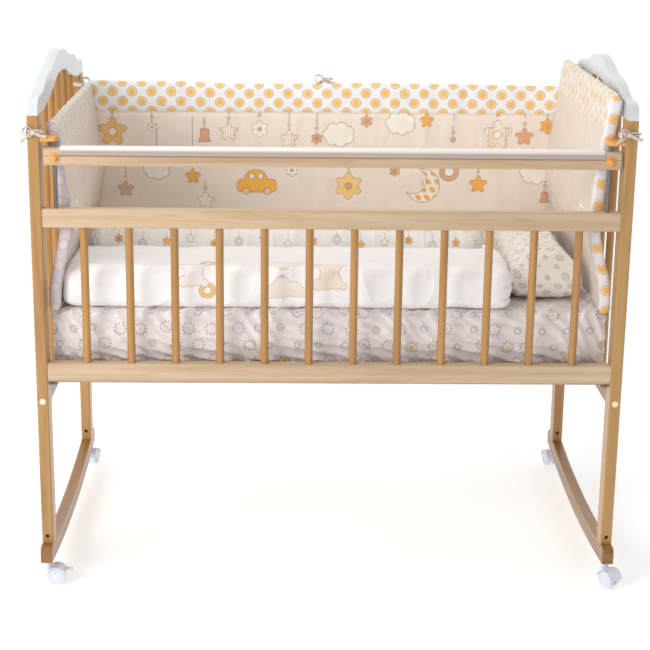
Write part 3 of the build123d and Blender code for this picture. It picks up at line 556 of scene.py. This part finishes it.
def make_back_bumper():
    """A long pad of beige toy cloth with a spotted band along its top."""
    d, h, run = section(284.6, 310.5, 614.2, 1020, 2.0)
    u = np.arange(-578, 578.5, 2.2)
    U, H = np.meshgrid(u, h, indexing="ij")
    D = np.tile(d, (len(u), 1))
    R = np.tile(run, (len(u), 1))
    face = np.clip((297 - D) / 12, 0, 1)
    seam = np.exp(-((H - 945) / 5.0) ** 2)
    puff = 4.2 * np.clip(np.sin(np.clip((H - 945) / 75, 0, 1) * math.pi), 0, 1) ** 0.6
    puff += 3.0 * np.clip(np.sin(np.clip((945 - H) / 330, 0, 1) * math.pi), 0, 1) ** 0.5
    pleat = 1.6 * waves(U, H * 0.25, 70, 3) * (0.4 + 0.6 * np.exp(-((H - 900) / 120) ** 2))
    D2 = D + face * (3.5 - puff * 0.9 + pleat + 2.2 * seam)
    sag = 1.5 * np.sin(U / 578 * math.pi * 1.5) + 2.4 * waves(U, U * 0, 300, 9, 2)
    H2 = H + np.clip((H - 945) / 75, 0, 1) * (sag - 1.0)
    D2 = np.clip(D2, 284.2, 311.4)
    rings = np.stack([U, D2, H2], -1) / 1000
    rest = np.stack([U, R, D * 0], -1) / 1000
    obj = tube("bumper_back_cloth", rings, rest)
    paint(obj, back_print(U.ravel(), R.ravel()))
    obj.data.materials.append(back_cotton)
    return obj


def side_print(u, v):
    """Beige cotton with a row of faint toys."""
    c = np.tile(np.array(lin(226, 212, 198)), (len(u), 1))
    for k in range(9):
        x0, z0 = -250 + 68 * k, 760 + 70 * math.sin(k * 2.3)
        x, y = u - x0, v - z0
        near = (np.abs(x) < 40) & (np.abs(y) < 40)
        kind = ("star", "flower", "ball")[k % 3]
        fill = (lin(240, 222, 196), CREAM, lin(236, 216, 200))[k % 3]
        c[near] = draw_toy(c[near], x[near], y[near], kind, 19, fill)
    return c


def make_side_bumper(side, top, knots):
    """End pad that bows into the cot; its skin is gathered towards its top edge."""
    d, h, run = section(-11, 11, 614.3, top, 2.4)
    v = np.arange(-298.5, 283.6, 2.4)
    V, H = np.meshgrid(v, h, indexing="ij")
    D = np.tile(d, (len(v), 1))
    R = np.tile(run, (len(v), 1))
    zs, xs = [k[0] for k in knots], [k[1] for k in knots]
    grid = np.linspace(614, top, 60)
    smooth = np.convolve(np.pad(np.interp(grid, zs, xs), 4, "edge"), np.ones(9) / 9, "valid")
    centre = np.interp(H, grid, smooth)
    gather = 0.35 + 0.65 * np.clip((H - top + 200) / 180, 0, 1)
    fold = 2.2 * waves(V, H * 0.22, 46, 5 + side) * gather + 1.6 * waves(V, H, 120, 15 + side)
    X = side * (centre + 0.82 * D) + fold * np.where(D * side < 0, 1, 0.6)
    edge = np.clip((np.abs(H - (614.3 + top) / 2) - (top - 614.3) / 2 + 40) / 40, 0, 1)
    H2 = H + edge * 2.2 * waves(V, V * 0, 60, 8 + side, 2)
    X = side * np.clip(side * X, 535, 598.4)
    rings = np.stack([X, V, H2], -1) / 1000
    rest = np.stack([V, R, D * 0], -1) / 1000
    name = "left" if side < 0 else "right"
    obj = tube(f"bumper_{name}_cloth", rings, rest)
    paint(obj, side_print(V.ravel(), R.ravel()))
    obj.data.materials.append(left_cotton if side < 0 else right_cotton)
    return obj


LEFT_KNOTS = [(614, 586), (665, 585), (724, 571), (795, 555), (900, 567), (1016, 581)]
RIGHT_KNOTS = [(614, 586), (677, 584), (732, 567), (795, 553), (926, 563), (1084, 586)]


def binding(side, top, knots, colours):
    """Puffed edge strip down the front of an end bumper."""
    zs, xs = [k[0] for k in knots], [k[1] for k in knots]
    z = np.linspace(614.6, top - 4, 170)
    x = np.interp(z, zs, xs)
    x = np.convolve(np.pad(x, 8, "edge"), np.ones(17) / 17, "valid")
    around = np.linspace(0, math.tau, 25)[:-1]
    ends = np.clip(np.minimum(z - 612, top - 2 - z) / 12, 0.15, 1) ** 0.5
    puff = 1 + 0.10 * waves(z, z * 0, 60, 71 + side, 2)
    half_x, half_y = 13.0 * ends * puff, 7.0 * ends * puff
    X = side * (x - 1)[:, None] + np.outer(half_x, np.sign(np.cos(around)) * np.abs(np.cos(around)) ** 0.7)
    Y = -301.0 + np.outer(half_y, np.sin(around))
    X = side * np.clip(side * X, 530, 599.2)
    Z = np.repeat(z[:, None], 24, 1) + 0.8 * waves(X, Y, 20, 73, 2)
    U = X - side * x[:, None]
    rings = np.stack([X, Y, Z], -1)[:, ::-1] / 1000
    obj = tube(("bumper_left" if side < 0 else "bumper_right") + "_binding", rings, rings)
    c = np.tile(np.array(colours[0]), (U.size, 1))
    u, v = U[:, ::-1].ravel(), Z[:, ::-1].ravel()
    d = np.hypot(u, np.mod(v, 46) - 23)
    c = outline(c, d - 11, colours[2], lin(176, 152, 140), 1.4)
    c = over(c, colours[1], inside(d - 8.2))
    paint(obj, c)
    obj.data.materials.append(cotton)
    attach(obj, "cradle")
    return obj


binding(-1, 1016, LEFT_KNOTS, (lin(208, 198, 206), lin(220, 208, 204), lin(214, 204, 208)))
binding(1, 1084, RIGHT_KNOTS, (lin(236, 232, 236), lin(246, 190, 100), lin(250, 226, 184)))
pads = {
    "bumper_back": make_back_bumper(),
    "bumper_left": make_side_bumper(-1, 1016, LEFT_KNOTS),
    "bumper_right": make_side_bumper(1, 1084, RIGHT_KNOTS),
}

# ---- Stuffed bedding: blown up from a plain block, then creased ------------------


def apply_all(obj):
    """Bake an object's modifiers into its mesh."""
    dg = bpy.context.evaluated_depsgraph_get()
    mesh = bpy.data.meshes.new_from_object(obj.evaluated_get(dg))
    old = obj.data
    obj.modifiers.clear()
    obj.data = mesh
    bpy.data.meshes.remove(old)


def coords(obj):
    """Vertex positions as an array, in metres."""
    co = np.zeros(len(obj.data.vertices) * 3, np.float32)
    obj.data.vertices.foreach_get("co", co)
    return co.reshape(-1, 3).astype(float)


def set_coords(obj, co):
    obj.data.vertices.foreach_set("co", co.astype(np.float32).ravel())
    obj.data.update()


def stuffed(name, lo, hi, corner, voxel, reach, pressure=4.0, shrink=-0.06, levels=1):
    """Closed block of cloth, remeshed finely, inflated for twenty frames and held near its block."""
    lo, hi = np.array(lo) / 1000, np.array(hi) / 1000
    bpy.ops.mesh.primitive_cube_add(size=1)
    obj = bpy.context.object
    obj.name = name
    co = coords(obj)
    set_coords(obj, (co + 0.5) * (hi - lo) + lo)
    bevel = obj.modifiers.new("round", "BEVEL")
    bevel.width = corner / 1000
    bevel.segments = 5
    remesh = obj.modifiers.new("grid", "REMESH")
    remesh.mode = "VOXEL"
    remesh.voxel_size = voxel / 1000
    apply_all(obj)
    start = coords(obj)
    layer = obj.data.attributes.new("rest", "FLOAT_VECTOR", "POINT")
    layer.data.foreach_set("vector", start.astype(np.float32).ravel())
    cloth = obj.modifiers.new("cloth", "CLOTH")
    c = cloth.settings
    c.quality = 4
    c.mass = 0.2
    c.tension_stiffness = c.compression_stiffness = c.shear_stiffness = 12
    c.bending_stiffness = 0.4
    c.use_pressure = True
    c.uniform_pressure_force = pressure
    c.shrink_min = shrink
    c.effector_weights.gravity = 0
    cloth.collision_settings.use_collision = False
    cloth.point_cache.frame_start, cloth.point_cache.frame_end = 1, 20
    for f in range(1, 21):
        scene.frame_set(f)
    apply_all(obj)
    scene.frame_set(1)
    moved = coords(obj) - start
    length = np.linalg.norm(moved, axis=1, keepdims=True)
    limit = reach / 1000
    moved *= limit * np.tanh(length / limit) / np.maximum(length, 1e-9)
    set_coords(obj, start + moved)
    sub = obj.modifiers.new("smooth", "SUBSURF")
    sub.levels = sub.render_levels = levels
    apply_all(obj)
    obj.data.polygons.foreach_set("use_smooth", [True] * len(obj.data.polygons))
    return obj


def flat_uv(obj):
    """Unrolled cloth coordinates of a block lying on the bed: x, and up the front then over the top."""
    rest = np.zeros(len(obj.data.vertices) * 3, np.float32)
    obj.data.attributes["rest"].data.foreach_get("vector", rest)
    rest = rest.reshape(-1, 3).astype(float) * 1000
    return rest[:, 0], rest[:, 2] - rest[:, 1], rest


def normals(obj):
    n = np.zeros(len(obj.data.vertices) * 3, np.float32)
    obj.data.vertices.foreach_get("normal", n)
    return n.reshape(-1, 3).astype(float)


def crease(obj, depth):
    """Push vertices along their normals by depth, in mm."""
    set_coords(obj, coords(obj) + normals(obj) * depth[:, None] / 1000)


def keep_in(obj, lo, hi):
    set_coords(obj, np.clip(coords(obj), np.array(lo) / 1000, np.array(hi) / 1000))


def ridges(w, sharp=2.0):
    """Turn smooth waves into narrow folds."""
    return 1 - np.abs(w) ** (1 / sharp) * 2


# mattress in its printed cover
mattress = stuffed("mattress_cover", (-594, -295, 491.5), (594, 295, 612), 13, 7, 4, 3.0, -0.03)
mu, mv, _ = flat_uv(mattress)
swing = mu + 0.9 * mv + 26 * waves(mu, mv, 260, 24, 2)
patch = np.clip(0.5 + 0.9 * waves(mu, mv * 0.3, 330, 25, 2), 0, 1)
fold = ridges(np.sin(swing * math.tau / 64), 1.6) * patch
cross = (mu * 0.25 + mv) * math.tau / 46 + 2 * waves(mu, mv, 200, 26, 2)
fold += 0.7 * ridges(np.sin(cross), 1.5) * (1 - patch)
crease(mattress, 5.2 * fold + 1.2 * waves(mu, mv, 60, 22))
keep_in(mattress, (-594, -298.5, 491), (594, 298.5, 613.2))
mattress.data.materials.append(mattress_satin)

# folded quilt: one smooth fold to the front, its layers show at the right end
quilt = stuffed("quilt_cover", (-568, -291, 614), (386, -66, 701), 26, 6, 5, 4.0, -0.05, 2)
qu, qv, qrest = flat_uv(quilt)
layer_h = qrest[:, 2] - 614
groove = sum(np.exp(-((layer_h - z - 2 * np.sin(qrest[:, 1] / 60 + z)) / 3.0) ** 2) for z in (27, 55))
at_end = np.clip((qrest[:, 0] - 358) / 20, 0, 1)
dent = np.exp(-(((layer_h - 34 + 10 * np.sin(qu / 130)) / 9.0) ** 2))
dent *= np.clip(0.4 + waves(qu, qu * 0, 240, 44, 2), 0, 1)
crease(quilt, -5.0 * groove * at_end - 2.5 * dent + 2.2 * waves(qu, qv, 190, 41, 2)
       + 1.9 * ridges(waves(qu, qv * 0.6, 110, 42, 2)))
keep_in(quilt, (-574, -296, 613.6), (394, -60, 704))


# x, height up the front and over the top, radius, kind, fill
QUILT_DRAWINGS = [
    (-262, 946, 17, "ball", lin(247, 206, 136)), (-292, 966, 26, "puff", lin(246, 242, 242)),
    (-96, 948, 38, "puff", lin(248, 240, 232)), (-4, 962, 30, "puff", lin(248, 236, 224)),
    (-150, 1040, 44, "puff", lin(248, 236, 220)), (30, 1060, 52, "puff", lin(248, 238, 226)),
    (190, 1040, 34, "puff", lin(246, 232, 220)),
]


def quilt_print(u, v):
    """White satin with a few large, faint drawings."""
    c = np.tile(np.array(lin(252, 252, 255)), (len(u), 1))
    c[v > 988] = np.array(lin(252, 249, 242))
    for x0, v0, r, kind, fill in QUILT_DRAWINGS:
        x, y = u - x0, v - v0
        near = (np.abs(x) < 80) & (np.abs(y) < 60)
        c[near] = draw_toy(c[near], x[near], y[near], kind, r, fill)
    return c


paint(quilt, quilt_print(qu, qv))
quilt.data.materials.append(satin)

# rolled blanket behind it
roll = stuffed("blanket_roll_cover", (-552, -58, 614), (354, 86, 742), 54, 6, 5, 4.0, -0.05, 2)
ru, rv, rrest = flat_uv(roll)
crease(roll, 2.4 * ridges(waves(ru, rv * 0.3, 120, 51, 2)) + 1.2 * waves(ru, rv, 50, 52))
keep_in(roll, (-558, -61.5, 613.6), (360, 92, 748))
wrap = np.arctan2(rrest[:, 2] - 678, 14 - rrest[:, 1]) * 66
roll_c = np.tile(np.array(lin(246, 243, 238)), (len(ru), 1))
spotted = dot_rows(roll_c, ru, wrap - 58, 44, 9.5)
faded = over(spotted, lin(248, 240, 220), np.full(len(ru), 0.35))
roll_c = np.where((wrap > 47)[:, None], faded, roll_c)
for k in range(17):
    x0, w0 = -525 + 54 * k, 25 + 6 * math.sin(2.1 * k)
    near = (np.abs(ru - x0) < 22) & (wrap > w0 - 22) & (wrap < 47)
    cord_line = (np.abs(ru[near] - x0) < 0.9) & (wrap[near] > w0) & (wrap[near] < 47)
    part = over(roll_c[near], lin(168, 150, 144), cord_line * 0.6)
    kind, fill = (("star", CREAM), ("flower", ORANGE), ("ball", CREAM), ("star", ORANGE))[k % 4]
    roll_c[near] = draw_toy(part, ru[near] - x0, wrap[near] - w0, kind, 8.5, fill)
paint(roll, roll_c)
roll.data.materials.append(cotton)

# pillow: flatter at its rim
pillow = stuffed("pillow_cover", (390, -206, 616), (556, 262, 714), 40, 5, 8, 5.0, -0.06)
pu, pv, _ = flat_uv(pillow)
co = coords(pillow) * 1000
rim = np.clip(1 - np.minimum((co[:, 0] - 386) / 60, (560 - co[:, 0]) / 60), 0, 1)
rim = np.maximum(rim, np.clip(1 - (co[:, 1] + 212) / 90, 0, 1))
co[:, 2] -= (co[:, 2] - 616) * 0.34 * rim**1.5
set_coords(pillow, co / 1000)
crease(pillow, 2.2 * ridges(waves(pu, pv, 130, 61, 2)) + 1.0 * waves(pu, pv, 44, 62))
keep_in(pillow, (386, -214, 613.6), (562, 270, 718))
pillow.data.materials.append(pillow_cotton)

pads.update({"mattress": mattress, "quilt": quilt, "blanket_roll": roll, "pillow": pillow})
for node, obj in pads.items():
    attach(obj, "cradle")
    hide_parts(node)

# ---- Ribbon ties -----------------------------------------------------------------


def ribbon(path, width, up, thick=0.9):
    """Strip of ribbon along path (mm), its width along up (one vector, or one per point)."""
    p = np.array(path, float)
    w = np.broadcast_to(np.array(up, float), p.shape)
    w = w / np.linalg.norm(w, axis=1, keepdims=True)
    t = np.gradient(p, axis=0)
    t /= np.linalg.norm(t, axis=1, keepdims=True)
    n = np.cross(t, w)
    n /= np.linalg.norm(n, axis=1, keepdims=True)
    corners = [p + w * width / 2 + n * thick / 2, p - w * width / 2 + n * thick / 2,
               p - w * width / 2 - n * thick / 2, p + w * width / 2 - n * thick / 2]
    return np.stack(corners, 1)


def bow(centre, size, out, strips):
    """Two loops, two tails and a knot, facing along out."""
    c, out = np.array(centre, float), np.array(out, float)
    side = np.cross(out, (0, 0, 1.0))
    up = np.array([0, 0, 1.0])
    for s in (-1, 1):
        a = np.linspace(0, 1, 28)
        ang = a * math.tau
        reach = size * (0.5 - 0.5 * np.cos(ang)) * 0.5
        lift = 0.26 * size * np.sin(ang) * (0.6 + 0.4 * s) * 0.9
        loop = c + np.outer(s * reach, side) + np.outer(lift + 0.12 * reach, up)
        loop = loop + np.outer(2 + 3 * np.sin(ang / 2), out)
        strips.append(ribbon(loop, 9, out + 0.4 * up))
        tail = c + np.outer(s * size * 0.62 * a, side) + np.outer(-size * (0.34 * a + 0.12 * a * a * s), up)
        tail = tail + np.outer(2.2 + 2 * np.sin(a * 5), out)
        strips.append(ribbon(tail, 8, up + 0.5 * out))
    turn = np.linspace(0, math.tau, 14)
    knot = c + np.outer(4.5 * np.cos(turn), side) + np.outer(3.5 + 3.0 * np.sin(turn), out)
    strips.append(ribbon(knot, 9, up))


tie_parts = []
bow((-611, -341.5, 1002), 42, (0, -1, 0), tie_parts)
bow((606, -341.5, 1007), 46, (0, -1, 0), tie_parts)
bow((-8, 311, 1026), 44, (0, -1, 0), tie_parts)
bow((-606, 341.5, 1010), 40, (0, 1, 0), tie_parts)
a = np.linspace(0, math.tau, 61)
for x, y, z, hx, hy in ((-612.5, -317.5, 1003, 13.4, 23.4), (612.5, -317.5, 1008, 13.4, 23.4),
                        (-612.5, 317.5, 1010, 13.4, 23.4)):
    cx, cy = np.clip(1.5 * np.cos(a), -1, 1) * hx, np.clip(1.5 * np.sin(a), -1, 1) * hy
    band = np.stack([x + cx, y + cy, z + 1.2 * np.sin(3 * a)], 1)
    tie_parts.append(ribbon(band, 10, (0, 0, 1.0)))
verts, quads = [], []
for rings in tie_parts:
    base = sum(len(v) for v in verts)
    n = len(rings)
    verts.append(rings.reshape(-1, 3) / 1000)
    for i in range(n - 1):
        for j in range(4):
            k = (j + 1) % 4
            quads.append((base + i * 4 + j, base + i * 4 + k, base + (i + 1) * 4 + k, base + (i + 1) * 4 + j))
    quads.append((base + 3, base + 2, base + 1, base))
    quads.append((base + n * 4 - 4, base + n * 4 - 3, base + n * 4 - 2, base + n * 4 - 1))
tie_co = np.concatenate(verts)
ties = new_mesh("bumper_tie_ribbons", tie_co, quads, tie_co)
paint(ties, np.tile(np.array(lin(214, 200, 190)), (len(tie_co), 1)))
ties.data.materials.append(cotton)
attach(ties, "cradle")
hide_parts("bumper_ties")

# ---- Button springs: the coil mesh split into one spring per button, each carried by the drop bar ---
coils = nodes["button_springs"]
coil_co = np.array([coils.matrix_world @ v.co for v in coils.data.vertices])
for side, name in ((-1, "left"), (1, "right")):
    here = coil_co[:, 0] * side > 0
    index = np.cumsum(here) - 1
    coil_faces = [[int(index[k]) for k in p.vertices] for p in coils.data.polygons if here[p.vertices[0]]]
    spring = new_mesh(f"button_spring_{name}", coil_co[here], coil_faces)
    spring.data.materials.append(zinc)
    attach(spring, "drop_bar_body")
    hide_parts("button_springs")
    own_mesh(spring)

# ---- Room, light and camera ------------------------------------------------------
bpy.ops.mesh.primitive_plane_add(size=30, location=(0, 0, -0.0004))
floor = bpy.context.object
floor.name = "studio_floor"
s = Shader("studio_white")
s.surface(Base_Color=(0.72, 0.72, 0.72, 1), Roughness=0.7, Emission_Color=(1, 1, 1, 1),
          Emission_Strength=0.43)
floor.data.materials.append(s.mat)

world = bpy.data.worlds.new("studio")
scene.world = world
world.use_nodes = True
# white behind the cradle, dimmer from the front, so the key light shapes it
sky = world.node_tree
sky.nodes["Background"].inputs["Color"].default_value = (1, 1, 1, 1)
heading = sky.nodes.new("ShaderNodeSeparateXYZ")
sky.links.new(sky.nodes.new("ShaderNodeTexCoord").outputs["Generated"], heading.inputs[0])
ahead = sky.nodes.new("ShaderNodeMapRange")
ahead.inputs["From Min"].default_value = -0.1
ahead.inputs["From Max"].default_value = 0.3
ahead.inputs["To Min"].default_value = 0.5
ahead.inputs["To Max"].default_value = 1.06
sky.links.new(heading.outputs[1], ahead.inputs["Value"])
sky.links.new(ahead.outputs[0], sky.nodes["Background"].inputs["Strength"])


def area(name, location, target, size, power, colour=(1, 1, 1)):
    """Rectangular light aimed at target."""
    light = bpy.data.lights.new(name, "AREA")
    light.shape = "RECTANGLE"
    light.size, light.size_y = size
    light.energy = power
    light.color = colour
    obj = bpy.data.objects.new(name, light)
    scene.collection.objects.link(obj)
    obj.location = location
    obj.rotation_euler = (Vector(target) - Vector(location)).to_track_quat("-Z", "Y").to_euler()


area("key", (-2.0, -2.0, 1.9), (0, 0, 0.7), (1.4, 1.4), 50, (1.0, 0.98, 0.95))
area("top", (-0.7, -0.5, 3.2), (-0.1, 0, 0.7), (2.0, 1.4), 12)

camera = bpy.data.cameras.new("camera")
cam = bpy.data.objects.new("camera", camera)
scene.collection.objects.link(cam)
scene.camera = cam
yaw, pitch, tilt = math.radians(1.3866), math.radians(14.818), math.radians(0.738)
forward = Vector((math.sin(yaw) * math.cos(pitch), math.cos(yaw) * math.cos(pitch), -math.sin(pitch)))
right = Vector((math.cos(yaw), -math.sin(yaw), 0))
upward = right.cross(forward)
right2 = right * math.cos(tilt) + upward * math.sin(tilt)
up2 = upward * math.cos(tilt) - right * math.sin(tilt)
turned = Matrix((right2, up2, -forward)).transposed().to_4x4()
cam.matrix_world = Matrix.Translation((-0.0887, -3.3928, 1.5319)) @ turned
camera.sensor_width = 36
camera.lens = 83.78
camera.shift_y = -0.09
camera.clip_start, camera.clip_end = 0.05, 60

scene.view_settings.view_transform = "Standard"
scene.view_settings.look = "None"
